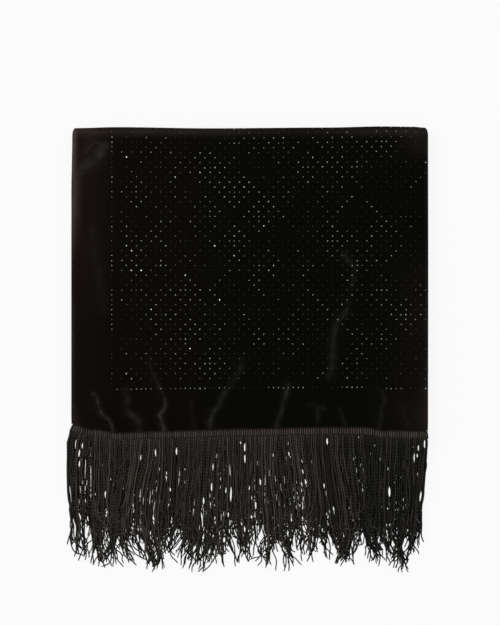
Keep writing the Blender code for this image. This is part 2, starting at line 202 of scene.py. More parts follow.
def hill(value):
    return np.exp(-(value ** 2))


def read_line(line, at):
    """How far an edge is out of its straight line, eased between its points."""
    at = np.asarray(at, float)
    out = np.full(at.shape, line[0].out)
    for low, high in zip(line, line[1:]):
        out += (high.out - low.out) * rise(at, low.along, high.along - low.along)
    return out


def left_edge(y):
    return read_line(LEFT_LINE, y) - HALF_WIDTH


def right_edge(y):
    return read_line(RIGHT_LINE, y) + HALF_WIDTH


def eased_course(course):
    """A curve through a crease's points."""
    ends = [course[0], *course, course[-1]]
    places = []
    for before, start, end, after in zip(ends, ends[1:], ends[2:], ends[3:]):
        for step in range(CREASE_BEND_STEPS):
            share = step / CREASE_BEND_STEPS
            places.append(0.5 * (2.0 * start + (end - before) * share
                                 + (2.0 * before - 5.0 * start + 4.0 * end - after) * share ** 2
                                 + (3.0 * start - before - 3.0 * end + after) * share ** 3))
    return np.array([*places, course[-1]])


def from_crease(crease, x, y):
    """Signed distance of places from a crease's course, and how far along it they are."""
    places = eased_course(crease.course)
    nearest = np.full(np.broadcast(x, y).shape, 1.0)
    along = np.zeros(nearest.shape)
    for number, (start, end) in enumerate(zip(places, places[1:])):
        way = end - start
        share = np.clip(((x - start[0]) * way[0] + (y - start[1]) * way[1]) / (way @ way), 0.0, 1.0)
        off_x = x - start[0] - share * way[0]
        off_y = y - start[1] - share * way[1]
        away = np.copysign(np.hypot(off_x, off_y), way[0] * off_y - way[1] * off_x)
        closer = np.abs(away) < np.abs(nearest)
        nearest = np.where(closer, away, nearest)
        along = np.where(closer, (number + share) / (len(places) - 1), along)
    return nearest, along


def crease_lift(x, y):
    """Height that the creases add to the front panel."""
    lift = np.zeros(np.broadcast(x, y).shape)
    for crease in CREASES:
        away, along = from_crease(crease, x, y)
        lift += crease.height * smooth(along / CREASE_TAPER) * hill(away / crease.half_width)
    return lift


def crease_shine(x, y):
    """Distance from the nearest crest, in its half widths, and how bright the painted highlight is
    there.
    """
    distance = np.full(np.broadcast(x, y).shape, CREST_REACH)
    shine = np.zeros(distance.shape)
    for crease in CREASES:
        away, along = from_crease(crease, x, y)
        level = crease.far_shine + (crease.near_shine - crease.far_shine) * along ** 2
        level *= smooth(along / CREASE_TAPER)
        level *= 1.0 - rise(np.abs(away) / crease.crest, CREST_REACH - 1.0, 1.0)
        brighter = level > shine
        distance = np.where(brighter, away / crease.crest, distance)
        shine = np.where(brighter, level, shine)
    return distance, shine


def panel_lift(x, y, from_hem):
    """Height of the front panel over its level, without creases."""
    from_side = np.minimum(x - left_edge(y), right_edge(y) - x)
    crown = CROWN * smooth(from_side / CROWN_MARGIN) * fall(y, TOP_FOLD_Y, CROWN_MARGIN)
    crown *= smooth(from_hem / CROWN_MARGIN)
    return crown - HEM_DROOP * (1.0 - smooth(from_hem / HEM_DROOP_REACH))


def strip_outline():
    """The doubled cloth cut across: one closed outline round both plies, fold and selvedges.

    Each row: share of the flat stretch, the middle of the ply as (x, out), from there to the
    surface as (x, out), and how much of the creases it takes.
    """
    ply_out = 0.5 * PLIES_APART
    half = 0.5 * PLY_THICKNESS
    rows = []
    for ply, side, columns in ((1.0, 1.0, FACE_COLUMNS), (-1.0, 1.0, BACK_COLUMNS),
                               (-1.0, -1.0, BACK_COLUMNS), (1.0, -1.0, BACK_COLUMNS)):
        leftwards = ply != side
        crease = 1.0 if ply > 0.0 else LOWER_PLY_CREASE
        for column in range(columns + 1):
            share = column / columns
            share = 1.0 - share if leftwards else share
            rows.append((share, 0.0, ply * ply_out, 0.0, ply * side * half, crease))
        for step in range(1, ROUND_STEPS):
            turn = math.pi * step / ROUND_STEPS
            if leftwards:
                rows.append((0.0, 0.0, ply * ply_out, -half * math.sin(turn),
                             -half * math.cos(turn), crease))
            else:
                turn = side * (0.5 * math.pi - turn)
                x, out = math.cos(turn), math.sin(turn)
                rows.append((1.0, ply_out * x, ply_out * out, side * half * x,
                             side * half * out, FOLD_CREASE))
    return np.array(rows)


# One section across the roll: the middle of the doubled cloth, the way its face looks, how far
# it is inside the outline, and how much of the front's, the hem's and the top's shape it takes
Section = namedtuple("Section", "y z out_y out_z left_in right_in front hem top squeeze",
                     defaults=(0.0, 0.0, 0.0, 0.0, 0.0, 1.0))


def level_z(level):
    return PLY_ROOM + STRIP_STEP * level


def rolled_sections():
    """Sections from the hem along the front and round all folds to the inner end."""
    sections = []
    start_y = HEM_EDGE
    for turn in HEM_ROUND:
        y = start_y + 0.5 * PLY_THICKNESS * (1.0 - math.cos(turn))
        sections.append(Section(y, level_z(TOP_LEVEL), 0.0, 1.0, front=1.0, hem=1.0,
                                squeeze=math.sin(turn)))
    start_y += 0.5 * PLY_THICKNESS
    for number, panel in enumerate(PANELS):
        heading = 1.0 if number % 2 == 0 else -1.0
        front = 1.0 if number == 0 else 0.0
        end_y = TOP_FOLD_Y - panel.fold_in if heading > 0 else BOTTOM_FOLD_Y + panel.fold_in
        z = level_z(panel.level)
        end = Section(end_y, z, 0.0, heading, panel.left_in, panel.right_in)
        for row in range(panel.rows):
            share = (row / panel.rows) ** (ROW_CROWDING if number == 0 else 1.0)
            y = start_y + (end_y - start_y) * share
            hem = front * (1.0 - rise(y, HEM_EDGE, EDGE_FADE))
            top = 1.0 - fall(y, TOP_FOLD_Y, EDGE_FADE)
            sections.append(end._replace(y=y, front=front, hem=hem, top=top))
        if number == len(PANELS) - 1:
            sections.append(end)
            break
        after = PANELS[number + 1]
        radius = 0.5 * STRIP_STEP * abs(panel.level - after.level)
        middle_z = 0.5 * (z + level_z(after.level))
        for row in range(FOLD_ROWS):
            share = row / FOLD_ROWS
            out_y = heading * math.sin(math.pi * share)
            out_z = heading * math.cos(math.pi * share)
            left_in = panel.left_in + (after.left_in - panel.left_in) * share
            right_in = panel.right_in + (after.right_in - panel.right_in) * share
            sections.append(Section(end_y + radius * out_y, middle_z + radius * out_z, out_y,
                                    out_z, left_in, right_in, top=max(heading, 0.0)))
        start_y = end_y
    return sections


def section_points(section, outline):
    """Points of the outline at one section of the roll."""
    share, mid_x, mid_out, skin_x, skin_out, crease = outline.T
    corner = CORNER_INSET * max(section.out_y, 0.0) ** 3
    left = left_edge(section.y) + section.left_in + corner
    right = right_edge(section.y) - section.right_in - corner - PLY_ROOM
    x = left + (right - left) * share + mid_x + section.squeeze * skin_x
    at_hem = section.front * (1.0 - rise(section.y, HEM_EDGE, HEM_PARTING_REACH))
    out = mid_out * (1.0 + at_hem * HEM_PARTING / (0.5 * PLIES_APART))
    out = out + section.squeeze * skin_out
    y = section.y + section.hem * read_line(HEM_LINE, x) + section.top * read_line(TOP_LINE, x)
    z = np.full(x.shape, section.z)
    if section.front:
        z += panel_lift(x, y, section.y - HEM_EDGE) + crease * crease_lift(x, y)
    return np.column_stack([x, y + section.out_y * out, z + section.out_z * out])


def faces_between(outer, inner):
    """Quads between two rows of points."""
    return [list(quad) for quad in zip(outer, outer[1:], inner[1:], inner)]


def end_faces(first):
    """Faces that close one end of the cloth, cell by cell."""
    rounds = ROUND_STEPS - 1
    backs = BACK_COLUMNS + 1
    sizes = (FACE_COLUMNS + 1, rounds, backs, rounds, backs, rounds, backs, rounds)
    numbers = first + np.arange(sum(sizes))
    stretches = [part.tolist() for part in np.split(numbers, np.cumsum(sizes)[:-1])]
    face, fold_out, under, low_end, gap_low, fold_in, gap_high, high_end = stretches
    faces = []
    back = gap_high[::-1]
    for cell in range(BACK_COLUMNS):
        corners = face[FACE_PER_BACK * cell:FACE_PER_BACK * (cell + 1) + 1]
        faces.append(corners + [back[cell + 1], back[cell]])
    faces += faces_between([face[-1], *fold_out, under[0]],
                           [gap_high[0], *fold_in[::-1], gap_low[-1]])
    faces += faces_between(under, gap_low[::-1])
    faces.append([under[-1], *low_end, gap_low[0]])
    faces.append([gap_high[-1], *high_end, face[0]])
    return faces


def ring_faces(rings, size, capped=False):
    """Quads that join rings of points, with or without end caps."""
    faces = []
    if capped:
        last = size * (rings - 1)
        faces = [list(range(size))[::-1], list(range(last, last + size))]
    for low in range(0, size * (rings - 1), size):
        for index in range(size):
            after = (index + 1) % size
            faces.append([low + index, low + after, low + size + after, low + size + index])
    return faces


def new_piece(name, points, edges, faces):
    """A named object at the origin, with its place in its mesh."""
    mesh = bpy.data.meshes.new(name)
    mesh.from_pydata(np.asarray(points).tolist(), edges, faces)
    mesh.update()
    piece = bpy.data.objects.new(name, mesh)
    bpy.context.scene.collection.objects.link(piece)
    return piece


def add_values(piece, name, values):
    """Store a value or vector for each point of a piece."""
    values = np.asarray(values, np.float32)
    kind, field = ("FLOAT_VECTOR", "vector") if values.ndim == 2 else ("FLOAT", "value")
    piece.data.attributes.new(name, kind, "POINT").data.foreach_set(field, values.ravel())


def pressed_pile_and_sheen(x, y):
    """How much lighter the pile looks: pressing, and painted sheen on edges, folds and corners, in
    metres.
    """
    from_left = x - left_edge(y)
    from_right = right_edge(y) - x
    width = LEFT_BAND.width - 0.0024 * rise(y, 0.085, 0.030)
    press_and_sheen = LEFT_BAND.level * hill(from_left / width) * rise(y, 0.015, 0.055)
    width = LEFT_EDGE_SHEEN.width + 0.0036 * fall(y, -0.120, 0.020)
    level = LEFT_EDGE_SHEEN.level - 0.20 * fall(np.abs(y + 0.01), 0.055, 0.055)
    press_and_sheen += hill(from_left / width) * level
    press_and_sheen += RIGHT_BAND.level * hill(from_right / RIGHT_BAND.width)
    level = TOP_BAND.level - 0.17 * hill((x - 0.050) / 0.050)
    press_and_sheen += hill((TOP_FOLD_Y + 0.0035 - y) / TOP_BAND.width) * level
    for spot in SPOTS:
        press_and_sheen += spot.level * hill((x - spot.x) / spot.width) * hill((y - spot.y) / spot.height)
    press_and_sheen += LOW_RIGHT_LEVEL * rise(x, 0.08, 0.08) * fall(y, -0.06, 0.07)
    low = RIGHT_LOW_BAND
    press_and_sheen += low.level * hill(from_right / low.width) * fall(y, -0.09, 0.03)
    wide = RIGHT_WIDE_BAND
    press_and_sheen += wide.level * hill(from_right / wide.width) * fall(y, 0.05, 0.07)
    return np.clip(press_and_sheen, 0.0, 1.0)


def left_side_painted_light(x, y):
    """Painted light: how much lighter and warmer the pile looks, most along the left side, towards
    the lamp.
    """
    margin = 1.0 - rise(x, -0.168, 0.044)
    margin *= 0.35 + 0.65 * rise(y, -0.06, 0.12)
    margin += 0.22 * (1.0 - rise(x, -0.10, 0.11))
    return np.minimum(margin, 1.0)


def colour(hex_code):
    """An sRGB hex colour as linear values."""
    parts = [int(hex_code[place:place + 2], 16) / 255.0 for place in (0, 2, 4)]
    linear = [part / 12.92 if part <= 0.04045 else ((part + 0.055) / 1.055) ** 2.4 for part in parts]
    return (*linear, 1.0)


def fill(tree, node, inputs):
    """Set a node's inputs: plain values, hex colours, or sockets to link."""
    for name, value in dict(inputs).items():
        if isinstance(value, bpy.types.NodeSocket):
            tree.links.new(value, node.inputs[name])
        elif node.inputs[name].type == "RGBA":
            node.inputs[name].default_value = colour(value)
        else:
            node.inputs[name].default_value = value


def add_node(tree, kind, inputs=(), output=0, **settings):
    """Add a node with its inputs and settings, and give one of its outputs."""
    node = tree.nodes.new(kind)
    for name, value in settings.items():
        setattr(node, name, value)
    fill(tree, node, inputs)
    return node.outputs[output]


def calc(tree, operation, *values, clamp=False):
    return add_node(tree, "ShaderNodeMath", enumerate(values), operation=operation,
                    use_clamp=clamp)


def stored(tree, name, output="Fac"):
    return add_node(tree, "ShaderNodeAttribute", output=output, attribute_name=name)


def noise(tree, place, size_mm, detail, roughness):
    return add_node(tree, "ShaderNodeTexNoise", {
        "Vector": place, "Scale": 1000.0 / size_mm, "Detail": detail, "Roughness": roughness})


def remap(tree, value, low, high, to_low, to_high):
    return add_node(tree, "ShaderNodeMapRange", {
        "Value": value, "From Min": low, "From Max": high, "To Min": to_low, "To Max": to_high})


def blend(tree, factor, low, high):
    return add_node(tree, "ShaderNodeMix", {"Factor": factor, 6: low, 7: high}, output=2,
                    data_type="RGBA")


def scaled(tree, vector, scale):
    return add_node(tree, "ShaderNodeVectorMath", {0: vector, "Scale": scale}, operation="SCALE")


def bump(tree, height, strength, distance):
    return add_node(tree, "ShaderNodeBump", {
        "Strength": strength, "Distance": distance, "Height": height})


def new_finish(name):
    """An empty material: its node tree, its shader and the material itself."""
    finish = bpy.data.materials.new(name)
    finish.use_nodes = True
    return finish.node_tree, finish.node_tree.nodes["Principled BSDF"], finish


def make_velvet_finish():
    """Pile velvet: woven ground, cut pile, steamed flat. Deep black with a soft grazing sheen."""
    tree, shader, finish = new_finish("black_pile_velvet")
    place = add_node(tree, "ShaderNodeTexCoord", output="Object")
    shade = noise(tree, place, PILE_SHADE_MM, 3.0, 0.55)
    grain = noise(tree, place, PILE_GRAIN_MM, 2.0, 0.6)
    # A painted highlight along each crease crest, broken into flecks
    fleck = remap(tree, noise(tree, place, CREST_FLECK_MM, 2.0, 0.5), 0.35, 0.65, 0.35, 1.20)
    away = stored(tree, "crest")
    away = calc(tree, "MULTIPLY", calc(tree, "MULTIPLY", away, away), -1.0)
    crest = calc(tree, "ADD", calc(tree, "EXPONENT", away), CREST_GLOW)
    crest = calc(tree, "MULTIPLY", crest, stored(tree, "shine"))
    lit = calc(tree, "MULTIPLY", crest, fleck, clamp=True)
    # Pressed pile and painted sheen, in soft patches
    patchy = calc(tree, "MULTIPLY", shade, SHADE_GAIN)
    patchy_press_and_sheen = calc(tree, "MULTIPLY", stored(tree, "brushed"), patchy, clamp=True)
    # Painted light: lighter and warmer along the left side
    pile = blend(tree, stored(tree, "margin"), PILE_DEEP, PILE_LEFT_LIGHT)
    pile = blend(tree, patchy_press_and_sheen, pile, PILE_PRESSED_AND_SHEEN)
    pile = blend(tree, lit, pile, PILE_CREST_HIGHLIGHT)
    pile = scaled(tree, pile, remap(tree, grain, 0.3, 0.7, 0.70, 1.30))
    height = calc(tree, "MULTIPLY_ADD", shade, SHADE_HEIGHT, grain)
    fill(tree, shader, {
        "Base Color": pile, "Normal": bump(tree, height, 0.5, 0.0003), "Roughness": 0.85,
        "Specular IOR Level": 0.03, "Sheen Weight": 0.06, "Sheen Roughness": 0.35,
        "Sheen Tint": PILE_SHEEN})
    return finish


outline = strip_outline()
rings = [section_points(section, outline) for section in rolled_sections()]
ring_size = len(outline)
cloth_faces = [corners[::-1] for corners in end_faces(0)]
cloth_faces += end_faces(ring_size * (len(rings) - 1)) + ring_faces(len(rings), ring_size)
cloth_points = np.concatenate(rings)
cloth = new_piece("velvet_sheet", cloth_points, [], cloth_faces)
cloth.data.polygons.foreach_set("use_smooth", [True] * len(cloth.data.polygons))
cloth_x, cloth_y, cloth_z = cloth_points.T
# Painted highlight along the crease crests, on the top panel only
crest, shine = crease_shine(cloth_x, cloth_y)
# Pressed pile and painted sheen along the edges, the top fold and the upper corners
add_values(cloth, "brushed", pressed_pile_and_sheen(cloth_x, cloth_y))
add_values(cloth, "crest", crest)
add_values(cloth, "shine", shine * rise(cloth_z, 0.010, 0.002))
# Painted light along the left side
add_values(cloth, "margin", left_side_painted_light(cloth_x, cloth_y))
cloth.data.materials.append(make_velvet_finish())
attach(cloth, "root")
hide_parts("velvet_cloth", "inner_layers")

# Fringe header
# A braid of rayon cord, 8 mm high: each fringe cord is looped over it and locked by rows of
# chain stitches, so that it looks ribbed. It goes across both plies of the hem, round the fold.
HEADER_HEIGHT = 0.0082
HEADER_SLOPE = math.radians(20.0)
HEADER_GAP = 0.0003
HEADER_ARM = 0.00045
HEADER_FOLD_INSET = 0.0006
HEADER_TUCK = Vector((0.0, 0.0020, 0.0003))
HEADER_CREASE = 0.45
HEADER_SPLAY = 0.42
HEADER_SPLAY_REACH = 0.018
TAPE_THICKNESS = 0.0003
TAPE_SHARE = 0.98
RIB_PITCH = 0.0022
RIB_WIDTH = 0.00145
RIB_THICKNESS = 0.00072
RIB_SIDES = 8
RIB_STEPS = 8
RIB_END = 0.04
LOCK_THREAD = 0.00034
LOCK_ROWS = (0.10, 0.86)
LOCK_OVER = 0.5 * TAPE_THICKNESS + RIB_THICKNESS + 0.10 * LOCK_THREAD
LOCK_DIP = 0.5 * TAPE_THICKNESS + 0.40 * RIB_THICKNESS
THREAD_SIDES = 5
FRONT_Z = level_z(TOP_LEVEL)
HEADER_Z = FRONT_Z - HEM_DROOP
HEM_LEFT = float(left_edge(HEM_EDGE))
HEM_RIGHT = float(right_edge(HEM_EDGE))

# Twisted rayon cord: a warm black, with a painted highlight along each twist and painted shade on
# its flanks, where the neighbouring cords shade it. The real twist is about 2 mm long, too fine to
# show here, so it is drawn coarser. It starts anew on each cord.
CORD_DARK = "050504"
CORD_LIGHT = "4a443c"
FLANK_SHADE = 0.92
TWIST_MM = 3.2
TWIST_SHINE = 0.46
TWIST_START = 200.0


def make_cord_finish(name, dark, light):
    """Rayon cord: continuous filament, twisted. Warm black, painted highlight on each turn."""
    tree, shader, finish = new_finish(name)
    tone = stored(tree, "tone")
    around = stored(tree, "around", "Vector")
    turn = calc(tree, "MULTIPLY_ADD", stored(tree, "along"), 2000.0 * math.pi / TWIST_MM,
                calc(tree, "MULTIPLY", tone, TWIST_START))
    turned = add_node(tree, "ShaderNodeCombineXYZ", {
        "X": calc(tree, "COSINE", turn), "Y": calc(tree, "SINE", turn)})
    twist = add_node(tree, "ShaderNodeVectorMath", {0: around, 1: turned}, output="Value",
                     operation="DOT_PRODUCT")
    # Painted highlight that winds round the cord with its twist
    ply = calc(tree, "MAXIMUM", twist, 0.0)
    # Painted shade on the cord's flanks, where its neighbours shade it
    flank = add_node(tree, "ShaderNodeSeparateXYZ", {0: around})
    flank = calc(tree, "MULTIPLY", flank, flank)
    shade = remap(tree, flank, 0.0, 1.0, 1.0, 1.0 - FLANK_SHADE)
    shine = calc(tree, "MULTIPLY_ADD", ply, TWIST_SHINE, tone, clamp=True)
    fill(tree, shader, {
        "Base Color": scaled(tree, blend(tree, shine, dark, light), shade),
        "Normal": bump(tree, ply, 0.6, 0.0002), "Roughness": 0.5, "Specular IOR Level": 0.12})
    return finish


def new_tree(name, extra):
    """A geometry node tree with named inputs: itself, its inputs and its end node."""
    tree = bpy.data.node_groups.new(name, "GeometryNodeTree")
    tree.interface.new_socket("Geometry", in_out="INPUT", socket_type="NodeSocketGeometry")
    tree.interface.new_socket("Geometry", in_out="OUTPUT", socket_type="NodeSocketGeometry")
    for label, kind in {**extra, "Finish": "Material"}.items():
        tree.interface.new_socket(label, in_out="INPUT", socket_type="NodeSocket" + kind)
    return tree, tree.nodes.new("NodeGroupInput").outputs, tree.nodes.new("NodeGroupOutput")


def closed_tree(tree, given, result, made, soft):
    """A node tree's end: real geometry, smooth or flat, with its material."""
    real = add_node(tree, "GeometryNodeRealizeInstances", {"Geometry": made})
    shaded = add_node(tree, "GeometryNodeSetShadeSmooth", {"Geometry": real, "Shade Smooth": soft})
    done = add_node(tree, "GeometryNodeSetMaterial", {
        "Geometry": shaded, "Material": given["Finish"]})
    fill(tree, result, {"Geometry": done})
    return tree


def point_values(tree, name, kind="FLOAT"):
    return add_node(tree, "GeometryNodeInputNamedAttribute", {"Name": name}, data_type=kind)


def make_cord_tree():
    """Wire paths become round cords, thick as the path's own scale says."""
    tree, given, result = new_tree("cord_along_path", {"Thickness": "Float", "Sides": "Int"})
    path = add_node(tree, "GeometryNodeMeshToCurve", {"Mesh": given["Geometry"]})
    path = add_node(tree, "GeometryNodeSetCurveNormal", {"Curve": path}, mode="Z_UP")
    circle = add_node(tree, "GeometryNodeCurvePrimitiveCircle", {
        "Resolution": given["Sides"], "Radius": calc(tree, "MULTIPLY", given["Thickness"], 0.5)})
    unit = add_node(tree, "ShaderNodeVectorMath", {
        0: add_node(tree, "GeometryNodeInputPosition")}, operation="NORMALIZE")
    profile = add_node(tree, "GeometryNodeStoreNamedAttribute", {
        "Geometry": circle, "Name": "around", "Value": unit}, data_type="FLOAT_VECTOR",
        domain="POINT")
    tube = add_node(tree, "GeometryNodeCurveToMesh", {
        "Curve": path, "Profile Curve": profile, "Scale": point_values(tree, "thick"),
        "Fill Caps": True})
    return closed_tree(tree, given, result, tube, True)


def make_scatter_tree():
    """One small shape is set on each point, turned as the point says."""
    tree, given, result = new_tree("shape_on_points", {"Shape": "Object", "Smooth": "Bool"})
    shape = add_node(tree, "GeometryNodeObjectInfo", {"Object": given["Shape"]}, "Geometry")
    turn = point_values(tree, "turn", "FLOAT_VECTOR")
    placed = add_node(tree, "GeometryNodeInstanceOnPoints", {
        "Points": given["Geometry"], "Instance": shape, "Scale": point_values(tree, "size"),
        "Rotation": add_node(tree, "FunctionNodeEulerToRotation", {0: turn})})
    return closed_tree(tree, given, result, placed, given["Smooth"])


def settle(piece, tree, values, finish):
    """Run a node tree on a piece, and keep the result as its plain mesh."""
    modifier = piece.modifiers.new(tree.name, "NODES")
    modifier.node_group = tree
    values = {**values, "Finish": finish}
    for item in tree.interface.items_tree:
        if item.in_out == "INPUT" and item.name in values:
            modifier[item.identifier] = values[item.name]
    piece.update_tag()
    graph = bpy.context.evaluated_depsgraph_get()
    old = piece.data
    piece.data = bpy.data.meshes.new_from_object(
        piece.evaluated_get(graph), preserve_all_data_layers=True, depsgraph=graph)
    piece.modifiers.clear()
    bpy.data.meshes.remove(old)
    piece.data.name = piece.name
    return piece


def summed(steps):
    return np.concatenate([[0.0], np.cumsum(steps)])


def make_cords(name, paths, tones, thickness, sides, finish, thicks=None):
    """Round cords along paths, each with its own tone, tapering where thicks are given."""
    firsts = np.cumsum([0] + [len(path) for path in paths[:-1]]).tolist()
    edges = []
    along = []
    for first, path in zip(firsts, paths):
        edges += [(first + step, first + step + 1) for step in range(len(path) - 1)]
        along.append(summed(np.linalg.norm(np.diff(path, axis=0), axis=1)))
    thicks = thicks or [np.ones(len(path)) for path in paths]
    each = [np.full(len(path), tone) for path, tone in zip(paths, tones)]
    piece = new_piece(name, np.concatenate(paths), edges, [])
    for label, values in (("along", along), ("thick", thicks), ("tone", each)):
        add_values(piece, label, np.concatenate(values))
    return settle(piece, cord_tree, {"Thickness": thickness, "Sides": sides}, finish)


def hem_at(x):
    """The hem's edge and the creases' height at a place across the shawl."""
    return np.interp(x, hem_x, hem_y), np.interp(x, hem_x, hem_lift)


def splay_at(x):
    """How far the header leans out near the selvedges, as an angle."""
    return HEADER_SPLAY * (1.0 - rise(x, HEM_LEFT, HEADER_SPLAY_REACH))


def header_frames(pitch):
    """Places along the header's upper edge, about one pitch apart, with their axes."""
    right = HEM_RIGHT - PLY_ROOM - HEADER_FOLD_INSET
    count = round((right - HEM_LEFT) / pitch)
    pitch = (right - HEM_LEFT) / count
    places = [(right - pitch * (count - step - 0.5), HEADER_ARM, 1.0, (1.0, 0.0))
              for step in range(count)]
    for turn in (math.radians(65.0), math.radians(115.0)):
        places.append((right + HEADER_ARM * math.sin(turn), HEADER_ARM * math.cos(turn),
                       FOLD_CREASE, (math.cos(turn), -math.sin(turn))))
    places += [(right - pitch * (step + 0.5), -HEADER_ARM, LOWER_PLY_CREASE, (-1.0, 0.0))
               for step in range(count)]
    frames = []
    for x, over, crease, way in places:
        y, lift = hem_at(x)
        lift *= crease
        slope = HEADER_SLOPE + math.atan2((1.0 - HEADER_CREASE) * lift, HEADER_HEIGHT)
        side = Vector((way[0], 0.0, way[1]))
        down = Vector((0.0, -math.cos(slope), -math.sin(slope)))
        out = side.cross(-down).normalized()
        splay = way[0] * splay_at(x)
        down = side.cross(out).normalized() * math.cos(splay) - side * math.sin(splay)
        side = out.cross(down).normalized()
        frames.append((Vector((x, y - HEADER_GAP, HEADER_Z + over + lift)), side, down, out))
    return frames


def make_rib():
    """One rib of the braid: a flat loop of cord from its upper to its lower edge."""
    points = []
    around = []
    for step in range(RIB_STEPS + 1):
        share = step / RIB_STEPS
        swell = math.sqrt(max(1.0 - abs(2.0 * share - 1.0) ** 5.0, RIB_END))
        for side in range(RIB_SIDES):
            turn = 2.0 * math.pi * side / RIB_SIDES
            out = 0.5 * TAPE_THICKNESS + 0.5 * RIB_THICKNESS * (1.0 + swell * math.sin(turn))
            points.append((0.5 * RIB_WIDTH * swell * math.cos(turn), HEADER_HEIGHT * share, out))
            around.append((math.cos(turn), math.sin(turn), 0.0))
    faces = ring_faces(RIB_STEPS + 1, RIB_SIDES, capped=True)
    faces = [[first, *rest[::-1]] for first, *rest in faces]
    rib = new_piece("rib_shape", points, [], faces)
    add_values(rib, "around", around)
    add_values(rib, "along", [point[1] for point in points])
    return rib


def set_on_points(name, frames, shape, smooth_faces, finish, tones, sizes):
    """Copies of a small shape, each on its frame: where, side, along and out."""
    piece = new_piece(name, [start for start, *_ in frames], [], [])
    turns = [tuple(Matrix(axes).transposed().to_euler()) for _, *axes in frames]
    for label, values in (("turn", turns), ("tone", tones), ("size", sizes)):
        add_values(piece, label, values)
    settle(piece, scatter_tree, {"Shape": shape, "Smooth": smooth_faces}, finish)
    bpy.data.objects.remove(shape)
    return piece


def make_tape(frames, finish):
    """The braid's ground: a thin tape tucked between the plies, down behind the ribs."""
    points = []
    for start, _, down, out in frames:
        half = out * 0.5 * TAPE_THICKNESS
        course = (start + HEADER_TUCK, start, start + down * TAPE_SHARE * HEADER_HEIGHT)
        points += [place - half for place in course]
        points += [place + half for place in course[::-1]]
    faces = ring_faces(len(frames), len(points) // len(frames), capped=True)
    tape = new_piece("header_tape", points, [], faces)
    add_values(tape, "tone", [0.0] * len(points))
    tape.data.materials.append(finish)
    return tape


hem_x = np.linspace(HEM_LEFT, HEM_RIGHT, 351)
hem_y = HEM_EDGE + read_line(HEM_LINE, hem_x)
hem_lift = crease_lift(hem_x, hem_y)
random_numbers = np.random.default_rng(731)
cord_tree = make_cord_tree()
scatter_tree = make_scatter_tree()
header_finish = make_cord_finish("rayon_braid", "28231f", "50473f")
thread_finish = make_cord_finish("rayon_lock_thread", "0c0a09", "26211d")
rib_frames = header_frames(RIB_PITCH)
rib_tones = random_numbers.uniform(0.05, 0.85, len(rib_frames))
rib_places = [(start, down.cross(out), down, out) for start, side, down, out in rib_frames]
ribs = set_on_points("header_ribs", rib_places, make_rib(), True, header_finish, rib_tones,
                     random_numbers.uniform(0.97, 1.03, len(rib_frames)))
tape = make_tape(rib_frames, thread_finish)
lock_paths = []
for share in LOCK_ROWS:
    course = []
    for start, side, down, out in rib_frames:
        row = start + down * HEADER_HEIGHT * share
        course += [row + out * LOCK_OVER, row + side * 0.5 * RIB_PITCH + out * LOCK_DIP]
    lock_paths.append(np.array(course[:-1]))
locks = make_cords("header_lock_threads", lock_paths, [0.2, 0.3], LOCK_THREAD, THREAD_SIDES,
                   thread_finish)
for piece in (ribs, tape, locks):
    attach(piece, "root")
    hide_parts("fringe_trim")

# Fringe cords
# About a thousand thin twisted rayon cords, looped through the header, hang from both plies of the
# hem. They lie on the surface side by side, lean over in groups, and tangle at their tips.
CORD_THICKNESS = 0.00134
CORDS_PER_HALF = 560
CORD_SIDES = 5
CORD_STEPS = 46
CORD_TIP_THICK = 0.7
ROOT_OVERLAP = 0.0006
ROOT_RUN = 0.012
LEAN_FROM = 0.004
LEAN_RUN = 0.082
LOWER_LAG = 0.011
LOWER_LEAN = 0.6
LEFT_BULGE = 0.0024
LEFT_BULGE_FROM = -0.150
RIGHT_TUCK = 0.0040
RIGHT_TUCK_FROM = 0.135
LAYER_LIFT = 0.0009
WEAVE_LIFT = 0.0006
WEAVE_LENGTH = (0.018, 0.045)
LIFT_SPREAD = 0.00012
ROOT_SPREAD = 0.00025
STRAY_SHARE = 0.12
STRAY_WAVE = 0.0028
OWN_WAVE = 0.00036
# Layers that the cords lie in, and how much lighter each looks: painted shade, darker the lower it
# lies
CordLayer = namedtuple("CordLayer", "level lighter")
CORD_LAYERS = (CordLayer(0.0, -0.24), CordLayer(2.0, 0.14), CordLayer(1.0, -0.18))
LIGHTEST = 0.70
# Painted shade: the cords grow darker over the right half, away from the lamp
RIGHT_DIM = 0.25
RIGHT_DIM_REACH = 0.150
HOOK_SHARE = 0.15
HOOK_MORE = 0.009
HOOK_RUN = (0.010, 0.019)
HOOK_DEGREES = (55.0, 125.0)
DRIFTER_SHARE = 0.012
DRIFT = (0.010, 0.020)
EDGE_ZONE = 0.150
EDGE_REACH = 0.014
TUFT_PITCH = 0.0086
TUFT_SPREAD = 0.0022
TUFT_SLANT = 0.38
TUFT_PULL = 0.44
TUFT_BEFORE = 0.003
TUFT_RUN = 0.014
TIP_CROWDING = 1.1
TIP_MORE = 0.0085
MASS_LESS = 0.0085
TIP_TURN = 0.34
PARTING_REACH = 0.0022

# Steps along a cord are shorter at its root and in its lower half, where it bends more
STEP_SHARES = (0.0, 0.20, 0.36, 1.0)
LENGTH_SHARES = (0.0, 0.22, 0.48, 1.0)

# A cord's own waves: how long, and how much of each. Its kinks: shortest, longest, and most turn.
OWN_WAVES = ((0.100, 0.8), (0.038, 0.6), (0.017, 0.40))
KINKS = ((0.009, 0.018, 0.22), (0.022, 0.045, 0.50))

# How far the cords have drifted sideways when the lean has come in, by where they hang
LeanPoint = namedtuple("LeanPoint", "x drift")
LEAN = in_metres(
    LeanPoint,
    (-172, -2), (-147.4, -3), (-122.8, -7), (-98.2, -9), (-88.4, -7), (-73.6, -4), (-29.3, -3),
    (-9.6, 0), (0.2, 0), (19.9, 3), (49.5, 8), (79, 10), (98.7, 6), (123.3, -2), (133.2, 0),
    (147.9, 0), (167.6, -3),
)

